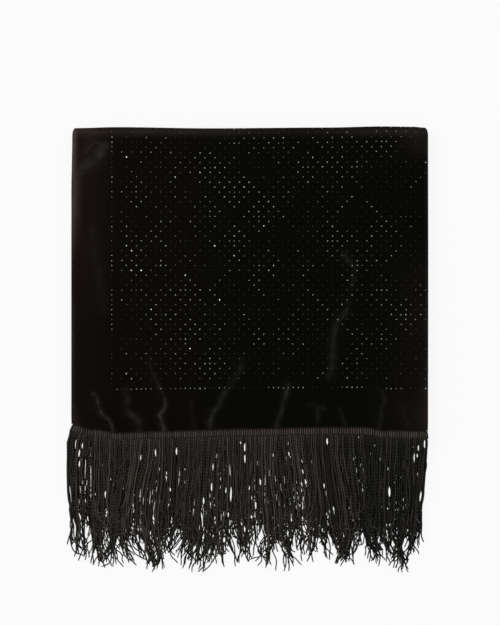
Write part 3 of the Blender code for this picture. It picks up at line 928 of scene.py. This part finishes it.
# The line of the tips: where, and how far from the header the mass of the cords and the longest
# of them reach
TipPoint = namedtuple("TipPoint", "x mass longest")
TIPS = in_metres(
    TipPoint,
    (-172, 93.5, 118), (-159.2, 86.6, 120), (-147.4, 103.4, 121), (-135.6, 96.5, 123),
    (-122.8, 106.3, 114), (-108, 103.4, 118), (-93.3, 108.3, 128), (-85.4, 103.4, 124),
    (-76.5, 86.6, 103.4), (-63.7, 103.4, 118), (-49, 116, 128), (-37.2, 116, 126),
    (-24.4, 103.4, 123), (-14.5, 88.6, 120), (0.2, 103.4, 120), (8.1, 91.6, 118),
    (18, 110.3, 124), (29.8, 106.3, 128), (41.6, 103.4, 118), (54.4, 88.6, 106.3),
    (69.2, 103.4, 120), (88.8, 110.3, 120), (96.7, 114.2, 124), (108.5, 91.6, 118),
    (123.3, 103.4, 120), (133.2, 103.4, 121), (143, 106.3, 129), (152.8, 88.6, 118),
    (162.7, 98.5, 118), (172.5, 88.6, 103.4),
)

# How a cord falls: how far from the header, and the height of its middle over the floor
FallPoint = namedtuple("FallPoint", "away upper lower")
FALL = in_metres(
    FallPoint,
    (0, 9.4, 8), (5, 7.6, 5.8), (12, 5.3, 3.6), (23, 3.5, 1.8), (48, 3, 1), (82, 2.7, 0.9),
    (108, 2.2, 0.8), (135, 1.5, 0.8),
)

# Partings between the cords, where the surface below shows: where, from and to which distance
# from the header, and half of their width
Parting = namedtuple("Parting", "x start end half")
PARTINGS = in_metres(
    Parting,
    (-175.4, 0, 9, 0.4), (-167.7, 0, 3, 0.3), (-157.3, 0, 4, 0.35), (-149.6, 0, 3, 0.3),
    (76.4, 5, 10, 0.6), (106.9, 2, 4, 0.3), (123, 5, 10, 0.3), (164.8, 1, 4, 0.4),
    (172.5, 2, 10, 0.5), (-170.1, 6, 17, 0.4), (-167.1, 16, 22, 0.4), (-164.4, 9, 13, 0.3),
    (-107.1, 8, 21, 0.6), (-92.5, 11, 17, 0.4), (-72.6, 11, 16, 0.3), (-32.8, 16, 22, 0.4),
    (-9, 6, 8, 0.3), (-5.1, 8, 15, 0.4), (32.3, 8, 11, 0.3), (38.2, 7, 10, 0.3),
    (38.8, 16, 20, 0.3), (55, 11, 13, 0.3), (118.9, 15, 20, 0.4), (160.6, 7, 13, 0.3),
    (162.4, 16, 22, 0.3), (165.3, 16, 20, 0.5), (166.6, 9, 11, 0.5), (170.2, 13, 15, 0.3),
    (-167.1, 27, 32, 0.35), (-88.9, 29, 32, 0.3), (-63.9, 27, 31, 0.4), (-36.7, 30, 32, 0.3),
    (-4.9, 19, 26, 0.35), (23.4, 19, 21, 0.3), (40.4, 20, 24, 0.3), (52, 26, 28, 0.4),
    (129, 19, 22, 0.3), (136.7, 29, 31, 0.3), (163.6, 29, 32, 0.4), (173.1, 26, 30, 0.5),
    (-137.6, 39, 42, 0.3), (-92.3, 42, 53, 0.4), (-82.7, 35, 39, 0.3), (10.5, 42, 49, 0.4),
    (52.4, 34, 37, 0.3), (-174.3, 53, 70, 0.5), (-142.7, 52, 59, 0.5), (-78.5, 49, 55, 0.4),
    (-43.6, 52, 58, 0.4), (-38.1, 49, 53, 0.35), (-23.4, 52, 56, 0.3), (-18.5, 51, 64, 0.3),
    (0, 51, 53, 0.4), (51.4, 46, 49, 0.4), (52.4, 53, 56, 0.6), (55, 45, 49, 0.3),
    (73.5, 47, 53, 0.4), (137.9, 50, 58, 0.6), (169, 53, 63, 0.6), (-115.5, 64, 68, 0.4),
    (-94.7, 56, 62, 0.3), (-80, 64, 67, 0.3), (-79, 58, 63, 0.4), (-45.4, 61, 66, 0.4),
    (1.9, 60, 62, 0.4), (6.4, 65, 75, 0.4), (48.1, 56, 58, 0.5), (52.6, 66, 69, 0.6),
    (-175.7, 72, 75, 0.3), (-141.5, 70, 76, 0.5), (-114.6, 69, 72, 0.3), (-47.2, 69, 80, 0.4),
    (-21.4, 72, 81, 0.35), (1.9, 77, 86, 0.6), (5.5, 77, 86, 0.5), (49.5, 68, 70, 0.5),
    (59.8, 72, 77, 0.9), (62.2, 78, 81, 0.7), (78.8, 75, 78, 0.3), (82.5, 72, 75, 0.3),
    (98.5, 72, 74, 0.3), (136.1, 68, 70, 0.7), (139.1, 75, 77, 0.5), (170.2, 67, 71, 0.4),
    (-145.7, 78, 82, 0.3), (-145.1, 83, 89, 0.5), (-115.9, 84, 90, 0.4), (-95.3, 78, 83, 0.4),
    (41.3, 83, 86, 0.6), (52, 81, 83, 0.7), (77, 80, 83, 0.3), (102.1, 82, 85, 0.8),
    (120.8, 79, 81, 0.3), (137.9, 83, 86, 0.7),
)

# Groups that the cords gather into towards their tips: the places between them, and their pulls
GATHER_SIDES = (-0.1750, -0.1435, -0.1155, -0.0950, -0.0790, -0.0460, -0.0205, 0.0042, 0.0530,
                0.0780, 0.1080, 0.1365, 0.1750)
GATHER_PULLS = (0.12, 0.13, 0.09, 0.12, 0.11, 0.10, 0.12, 0.10, 0.09, 0.09, 0.10, 0.10)

# Slow waves that neighbouring cords share: how wide and how long, their size and their start
Sway = namedtuple("Sway", "across down size start")
SWAYS = (Sway(0.061, 0.130, 0.0009, 0.4), Sway(0.034, -0.085, 0.0004, 2.1),
         Sway(0.019, 0.052, 0.00018, 4.4))


def read_column(rows, name, at):
    """One column of a table, read at a place by its first column."""
    return np.interp(at, [row[0] for row in rows], [getattr(row, name) for row in rows])


def lean_of(x, away, upper):
    """How far a cord has drifted sideways when it is this far from the header."""
    drift = read_column(LEAN, "drift", x if upper else x + LOWER_LAG)
    drift *= (1.0 if upper else LOWER_LEAN) * rise(away, LEAN_FROM, LEAN_RUN)
    near_left = fall(x, LEFT_BULGE_FROM, LEFT_BULGE_FROM + HALF_WIDTH)
    near_right = rise(x, RIGHT_TUCK_FROM, HALF_WIDTH - RIGHT_TUCK_FROM)
    bulge = smooth(away / ROOT_RUN) * (1.0 - 1.6 * rise(away, 0.024, 0.065))
    return drift - LEFT_BULGE * near_left * bulge - RIGHT_TUCK * near_right * smooth(away / 0.116)


def parted(course, away):
    """How far the partings push a cord to either side, along its course."""
    push = np.zeros(away.shape)
    for parting in PARTINGS:
        middle = 0.5 * (parting.start + parting.end)
        apart = float(np.interp(middle, away, course)) - parting.x
        if abs(apart) > 3.0 * PARTING_REACH:
            continue
        run = 0.5 * (parting.end - parting.start)
        window = np.exp(-(((away - middle) / (0.9 * run + 0.001)) ** 4))
        size = (parting.half + 0.5 * CORD_THICKNESS) * math.exp(-abs(apart) / PARTING_REACH)
        push += math.copysign(size, apart) * window
    return push


def gathered(course, share):
    """How far a cord is drawn towards the middle of its group near the tip."""
    group = int(np.searchsorted(GATHER_SIDES[1:-1], course[-1], side="right"))
    middle = 0.5 * (GATHER_SIDES[group] + GATHER_SIDES[group + 1])
    return (middle - course[-1]) * GATHER_PULLS[group] * rise(share, 0.45, 0.55)


def swayed(x, away):
    """How far the slow waves move a cord that hangs at this place."""
    drift = np.zeros(away.shape)
    for sway in SWAYS:
        turn = 2.0 * math.pi * x / sway.across + sway.start
        drift += sway.size * (np.sin(turn + 2.0 * math.pi * away / sway.down) - math.sin(turn))
    return drift


def wander(away, share, size, numbers):
    """A cord's own waves, which grow towards its tip."""
    drift = np.zeros(away.shape)
    for wave_length, part in OWN_WAVES:
        start = numbers.uniform(0.0, 2.0 * math.pi)
        wave = np.sin(2.0 * math.pi * away / wave_length + start) - math.sin(start)
        drift += part * numbers.normal(0.0, 1.0) * wave
    return size * drift * smooth(share / 0.35)


def crinkled(along, length, hook, numbers):
    """How far a cord turns off its way: kinks in its lower half, and perhaps a hook."""
    share = along / length
    turn = np.zeros(along.shape)
    for shortest, longest, most in KINKS:
        wave_length = numbers.uniform(shortest, longest)
        start = numbers.uniform(0.0, 2.0 * math.pi)
        turn += numbers.uniform(0.0, most) * np.sin(2.0 * math.pi * along / wave_length + start)
    turn *= 0.06 + 0.94 * rise(share, 0.55, 0.38)
    turn += numbers.normal(0.0, TIP_TURN) * rise(share, 0.76, 0.24)
    if hook:
        run = numbers.uniform(*HOOK_RUN)
        angle = hook * math.radians(numbers.uniform(*HOOK_DEGREES))
        turn += angle * rise(along, length - run, 0.6 * run)
    return turn


def inward(x, numbers):
    """A side for a cord to turn to: inwards near the ends of the fringe."""
    if abs(x) > EDGE_ZONE:
        return -math.copysign(1.0, x)
    return 1.0 if numbers.uniform() < 0.5 else -1.0


def cord_height(x, away, share, upper, level, hook, numbers):
    """The height of a cord's middle along its course."""
    z = read_column(FALL, "upper" if upper else "lower", away)
    z = z + level * LAYER_LIFT * smooth(away / ROOT_RUN)
    weave = 1.0 + np.sin(2.0 * math.pi * (away / numbers.uniform(*WEAVE_LENGTH) + numbers.uniform()))
    z = z + WEAVE_LIFT * weave * smooth(away / ROOT_RUN)
    if hook:
        z = z + LAYER_LIFT * rise(share, 0.6, 0.2)
    z = z + numbers.uniform(-LIFT_SPREAD, LIFT_SPREAD)
    lift = hem_at(x)[1] * HEADER_CREASE * (1.0 if upper else LOWER_PLY_CREASE)
    return z + lift * (1.0 - smooth(away / 0.014))


def cord_course(x, upper, level, numbers):
    """One cord's path from the header to its tip."""
    tip_x = x + lean_of(x, 0.100, upper)
    mass = read_column(TIPS, "mass", tip_x) - MASS_LESS
    longest = read_column(TIPS, "longest", tip_x) + TIP_MORE
    reach = mass + (longest - mass) * numbers.uniform(0.0, 1.0) ** TIP_CROWDING
    side = inward(x, numbers)
    hook = side if numbers.uniform() < HOOK_SHARE else 0.0
    if hook:
        reach = mass + numbers.uniform(0.0, HOOK_MORE)
    share = np.interp(np.linspace(0.0, 1.0, CORD_STEPS), STEP_SHARES, LENGTH_SHARES)
    away = share * reach
    free = 0.15 + 0.85 * fall(abs(x), HALF_WIDTH, EDGE_REACH)
    course = x + lean_of(x, away, upper) + free * swayed(x, away)
    course = course + gathered(course, share)
    stray = numbers.uniform() < STRAY_SHARE
    course = course + wander(away, share, (STRAY_WAVE if stray else OWN_WAVE) * free, numbers)
    if numbers.uniform() < DRIFTER_SHARE:
        course = course + side * numbers.uniform(*DRIFT) * rise(share, 0.40, 0.40)
        level = level + 1.0
    if not stray:
        course = course + parted(course, away)
    tuft = int(np.argmin(np.abs(TUFT_X - course[-1])))
    beyond = rise(away, mass - TUFT_BEFORE, TUFT_RUN)
    course = course + (TUFT_X[tuft] - course[-1]) * TUFT_PULL * beyond
    course = course + TUFT_LEAN[tuft] * np.maximum(away - mass, 0.0)
    steps_x = np.diff(course)
    steps_y = np.diff(away)
    middle = 0.5 * (away[1:] + away[:-1])
    heading = np.arctan2(steps_x, steps_y) + crinkled(middle, reach, hook, numbers)
    step = np.hypot(steps_x, steps_y)
    path_x = summed(step * np.sin(heading))
    path_y = summed(step * np.cos(heading))
    if not hook:
        path_y *= reach / path_y[-1]
    z = cord_height(x, away, share, upper, level, hook, numbers)
    splay = splay_at(x)
    drop = HEADER_HEIGHT - ROOT_OVERLAP
    top = hem_at(x)[0] - HEADER_GAP - drop * math.cos(HEADER_SLOPE) * math.cos(splay)
    return np.column_stack([x - drop * math.sin(splay) + path_x, top - path_y, z])


def half_of_cords(name, upper, numbers):
    """The cords of one ply, as two pieces, left and right."""
    left = HEM_LEFT + 0.5 * CORD_THICKNESS
    right = HEM_RIGHT - 0.5 * CORD_THICKNESS
    pieces = []
    for part, first in (("left", 0), ("right", CORDS_PER_HALF // 2)):
        paths, thicks, tones = [], [], []
        for number in range(first, first + CORDS_PER_HALF // 2):
            x = left + (right - left) * (number + 0.5) / CORDS_PER_HALF
            x += numbers.uniform(-ROOT_SPREAD, ROOT_SPREAD)
            layer = CORD_LAYERS[number % len(CORD_LAYERS)]
            paths.append(cord_course(x, upper, layer.level, numbers))
            thicks.append(np.full(CORD_STEPS, numbers.uniform(0.90, 1.04)))
            thicks[-1][-1] *= CORD_TIP_THICK
            # Tone at random, with painted shade on the lower layers and over the right half
            lighter = layer.lighter - RIGHT_DIM * smooth(x / RIGHT_DIM_REACH)
            tones.append(LIGHTEST * numbers.uniform(0.0, 1.0) ** 3 + lighter)
        pieces.append(make_cords(f"{name}_{part}", paths, tones, CORD_THICKNESS, CORD_SIDES,
                                 cord_finish, thicks))
    return pieces


# Tufts that the tips draw together in: where, and how each leans, inwards near the ends
TUFT_X = np.arange(-HALF_WIDTH, HALF_WIDTH, TUFT_PITCH)
TUFT_X = TUFT_X + random_numbers.uniform(-TUFT_SPREAD, TUFT_SPREAD, len(TUFT_X))
TUFT_LEAN = random_numbers.uniform(-TUFT_SLANT, TUFT_SLANT, len(TUFT_X))
TUFT_LEAN = np.where(np.abs(TUFT_X) > EDGE_ZONE, -0.5 * np.copysign(TUFT_LEAN, TUFT_X), TUFT_LEAN)
cord_finish = make_cord_finish("twisted_rayon_cord", CORD_DARK, CORD_LIGHT)
fringe = half_of_cords("fringe_upper", True, random_numbers)
fringe += half_of_cords("fringe_lower", False, random_numbers)
for piece in fringe:
    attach(piece, "root")
    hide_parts("fringe_trim")

# Crystals
# Small faceted crystals with foiled flat backs, melted onto the pile by heat. They form a plain
# lozenge trellis with a round flower in each lozenge, inside a border along the two margins.
CRYSTAL_WIDTH = 0.00155
CRYSTAL_HEIGHT = 0.00075
CRYSTAL_PITCH = 0.00482
CRYSTAL_SLIP = 0.00012
FIELD_LEFT = -0.1356
FIELD_LOW = -0.1080
FIELD_COLUMNS = 65
FIELD_ROWS = 55
TRELLIS = 10
BORDER_GAP = 2
FACETS = 8
CRYSTAL_TILT = 0.16
LAST_OVER_FOLD = 0.0075
BESIDE = 0.0008
# The painted glints: the length of a run and how much it counts, the dimmest tone, the share left
# dimmest, how fast the tone rises and the brightest
RUN = 4
RUN_WEIGHT = 0.60
DIMMEST = 0.0065
DIM_SHARE = 0.18
TONE_RISE = 6.1
BRIGHTEST = 0.46

# A flower's crystals, as steps from its middle to either side and up or down
PETALS = ((0, 0), (1, 0), (0, 1), (1, 2), (2, 1), (3, 0), (0, 3))
FLOWER = [(column, row) for column in range(-3, 4) for row in range(-3, 4)
          if (abs(column), abs(row)) in PETALS]


def face_of_cloth(x, along):
    """A place on the cloth's face and the way it looks, from the hem and over the top fold."""
    skin = 0.5 * (PLIES_APART + PLY_THICKNESS)
    run = TOP_FOLD_Y - HEM_EDGE
    hem = (1.0 - smooth(along / EDGE_FADE)) * read_line(HEM_LINE, x)
    y = HEM_EDGE + np.minimum(along, run)
    top = (1.0 - fall(y, TOP_FOLD_Y, EDGE_FADE)) * read_line(TOP_LINE, x)
    radius = 0.5 * STRIP_STEP * TOP_LEVEL
    turn = np.maximum(along - run, 0.0) / radius
    z = FRONT_Z - radius + (radius + skin) * np.cos(turn)
    place_y = y + hem + top + (radius + skin) * np.sin(turn)
    over = panel_lift(x, place_y, y - HEM_EDGE) + crease_lift(x, place_y)
    z = z + np.where(along <= run, over, 0.0)
    return np.column_stack([x, place_y, z]), turn


def crystal_places():
    """Columns and rows that hold a crystal, and the run that each belongs to."""
    runs = {}
    half = TRELLIS // 2
    for column in range(0, FIELD_COLUMNS + half, half):
        for row in range(0, FIELD_ROWS + half, half):
            if (column // half + row // half) % 2:
                for right, up in FLOWER:
                    runs[(column + right, row + up)] = ("flower", column, row)
    for column in range(BORDER_GAP, FIELD_COLUMNS):
        for row in range(BORDER_GAP, FIELD_ROWS):
            if (column + row) % TRELLIS == 0:
                runs[(column, row)] = ("down", column + row, column // RUN)
            elif (column - row) % TRELLIS == 0:
                runs[(column, row)] = ("up", column - row, column // RUN)
    for number in range(max(FIELD_COLUMNS, FIELD_ROWS)):
        runs[(number, 0)] = ("border", 0, number // RUN)
        runs[(0, number)] = ("border", 1, number // RUN)
    inside = [at for at in sorted(runs) if (min(at) >= BORDER_GAP or min(at) == 0)
              and at[0] < FIELD_COLUMNS and at[1] < FIELD_ROWS]
    names = sorted(set(runs[at] for at in inside))
    return np.array(inside, float), np.array([names.index(runs[at]) for at in inside])


def make_crystal():
    """One crystal: a flat back, a low girdle, eight cut sides and a flat table."""
    points = []
    for radius, height, start in ((0.50, 0.0, 0.0), (0.50, 0.22, 0.0), (0.27, 1.0, 0.5)):
        for facet in range(FACETS):
            turn = 2.0 * math.pi * (facet + start) / FACETS
            points.append((CRYSTAL_WIDTH * radius * math.cos(turn),
                           CRYSTAL_WIDTH * radius * math.sin(turn), CRYSTAL_HEIGHT * height))
    faces = ring_faces(2, FACETS)
    faces.append(list(range(FACETS))[::-1])
    faces.append(list(range(2 * FACETS, 3 * FACETS)))
    for facet in range(FACETS):
        low, low_after = FACETS + facet, FACETS + (facet + 1) % FACETS
        high, high_before = 2 * FACETS + facet, 2 * FACETS + (facet - 1) % FACETS
        faces.append([low, low_after, high])
        faces.append([low, high, high_before])
    return new_piece("crystal_shape", points, [], faces)


def make_crystal_finish():
    """Lead glass on silver foil, cut and polished: bright where a facet meets a lamp; painted
    glints.
    """
    tree, shader, finish = new_finish("foiled_crystal")
    # The colour goes from dark to bright by the tone: painted glints, besides the real ones where a
    # facet meets the lamp
    fill(tree, shader, {
        "Base Color": blend(tree, stored(tree, "tone"), "1c1c1e", "f2f2f4"), "Metallic": 0.9,
        "Roughness": 0.19, "Coat Weight": 0.12})
    return finish


places, run_numbers = crystal_places()
crystal_x = FIELD_LEFT + CRYSTAL_PITCH * places[:, 0]
crystal_along = FIELD_LOW - HEM_EDGE + CRYSTAL_PITCH * places[:, 1]
crystal_x = crystal_x + random_numbers.normal(0.0, CRYSTAL_SLIP, len(places))
crystal_along = crystal_along + random_numbers.normal(0.0, CRYSTAL_SLIP, len(places))
kept = crystal_x < right_edge(0.0) - PLY_ROOM
kept &= crystal_along < TOP_FOLD_Y - HEM_EDGE + LAST_OVER_FOLD
crystal_x, crystal_along = crystal_x[kept], crystal_along[kept]
crystal_points, over_fold = face_of_cloth(crystal_x, crystal_along)
beside, _ = face_of_cloth(crystal_x + BESIDE, crystal_along)
beyond, _ = face_of_cloth(crystal_x, crystal_along + BESIDE)
crystal_frames = []
for point, side_point, far_point in zip(crystal_points, beside, beyond):
    side = Vector(side_point - point).normalized()
    far = Vector(far_point - point).normalized()
    out = side.cross(far).normalized()
    tilt = random_numbers.normal(0.0, CRYSTAL_TILT, 2)
    out = (out + side * float(tilt[0]) + far * float(tilt[1])).normalized()
    spin = random_numbers.uniform(0.0, 2.0 * math.pi)
    side = (side * math.cos(spin) + far * math.sin(spin)).cross(out).normalized()
    crystal_frames.append((Vector(point), side, out.cross(side), out))

# Painted glints: most crystals are given a dim colour, as if they looked away from the lamp, and
# bright ones come in short runs; those over the fold are dimmer still
own = random_numbers.uniform(0.0, 1.0, len(crystal_frames))
run_luck = random_numbers.uniform(0.0, 1.0, run_numbers.max() + 1)[run_numbers[kept]]
luck = RUN_WEIGHT * run_luck + (1.0 - RUN_WEIGHT) * own
luck = np.argsort(np.argsort(luck)) / len(crystal_frames)
crystal_glints = DIMMEST * np.exp(TONE_RISE * np.maximum(luck - DIM_SHARE, 0.0))
crystal_glints = np.minimum(crystal_glints, BRIGHTEST)
crystal_glints = np.where(over_fold > 0.0, 0.5 * crystal_glints, crystal_glints)
crystals = set_on_points("hotfix_crystals", crystal_frames, make_crystal(), False,
                         make_crystal_finish(), crystal_glints,
                         random_numbers.uniform(0.92, 1.05, len(crystal_frames)))
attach(crystals, "root")

# Sewing
# The header is joined to the hem by a row of short slanting stitches in black thread, one row
# on each ply, pulled down into the pile.
STITCH_PITCH = 0.0026
STITCH_THREAD = 0.00032
STITCH_REACH = 0.0013
STITCH_SLANT = 0.0005

# A stitch's course: how far over the hem's edge, as a share of its reach, and its height there
StitchPoint = namedtuple("StitchPoint", "share out")
STITCH = (StitchPoint(-1.00, 0.00088), StitchPoint(-0.60, 0.00120), StitchPoint(-0.15, 0.00122),
          StitchPoint(0.35, 0.00100), StitchPoint(1.00, 0.00080))
stitch_paths = []
for start, side, down, out in header_frames(STITCH_PITCH):
    slant = down * STITCH_REACH + side * STITCH_SLANT
    stitch_paths.append(np.array([start + slant * at.share + out * at.out for at in STITCH]))
stitches = make_cords("hem_stitches", stitch_paths, [0.2] * len(stitch_paths), STITCH_THREAD,
                      THREAD_SIDES, thread_finish)
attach(stitches, "root")

# Studio
# A plain pale table, one large soft lamp high on the left and light from all round.
FLOOR_HALF = 3.0
LAMP_SIZE = 1.4
LAMP_POWER = 26.0
LAMP_PLACE = Vector((-1.5, 1.1, 1.9))
SKY_STRENGTH = 0.88
FLOOR_GLOW = 0.893
CAMERA_AIM = Vector((0.00025, -0.0337, 0.013))
FRAME_HEIGHT = 0.6153
LENS = 150.0
SENSOR = 36.0
FARTHEST = 20.0
WHITE = "ffffff"

floor_points = [(-FLOOR_HALF, -FLOOR_HALF, 0.0), (FLOOR_HALF, -FLOOR_HALF, 0.0),
                (FLOOR_HALF, FLOOR_HALF, 0.0), (-FLOOR_HALF, FLOOR_HALF, 0.0)]
floor = new_piece("floor", floor_points, [], [[0, 1, 2, 3]])
tree, shader, floor_finish = new_finish("lit_white_table")
fill(tree, shader, {
    "Base Color": "464646", "Emission Color": WHITE, "Emission Strength": FLOOR_GLOW,
    "Roughness": 0.9, "Specular IOR Level": 0.1})
floor.data.materials.append(floor_finish)

lamp_data = bpy.data.lights.new("soft_lamp", "AREA")
lamp_data.shape = "DISK"
lamp_data.size = LAMP_SIZE
lamp_data.energy = LAMP_POWER
lamp = bpy.data.objects.new("soft_lamp", lamp_data)
lamp.location = LAMP_PLACE
lamp.rotation_euler = (-LAMP_PLACE).to_track_quat("-Z", "Y").to_euler()
bpy.context.scene.collection.objects.link(lamp)

world = bpy.data.worlds.new("studio")
world.use_nodes = True
fill(world.node_tree, world.node_tree.nodes["Background"], {
    "Color": WHITE, "Strength": SKY_STRENGTH})
bpy.context.scene.world = world
bpy.context.scene.view_settings.view_transform = "Standard"

camera_data = bpy.data.cameras.new("camera")
camera_data.lens = LENS
camera_data.sensor_fit = "VERTICAL"
camera_data.sensor_height = SENSOR
camera_data.clip_end = FARTHEST
camera = bpy.data.objects.new("camera", camera_data)
camera.location = CAMERA_AIM + Vector((0.0, 0.0, FRAME_HEIGHT * LENS / SENSOR))
bpy.context.scene.collection.objects.link(camera)
bpy.context.scene.camera = camera
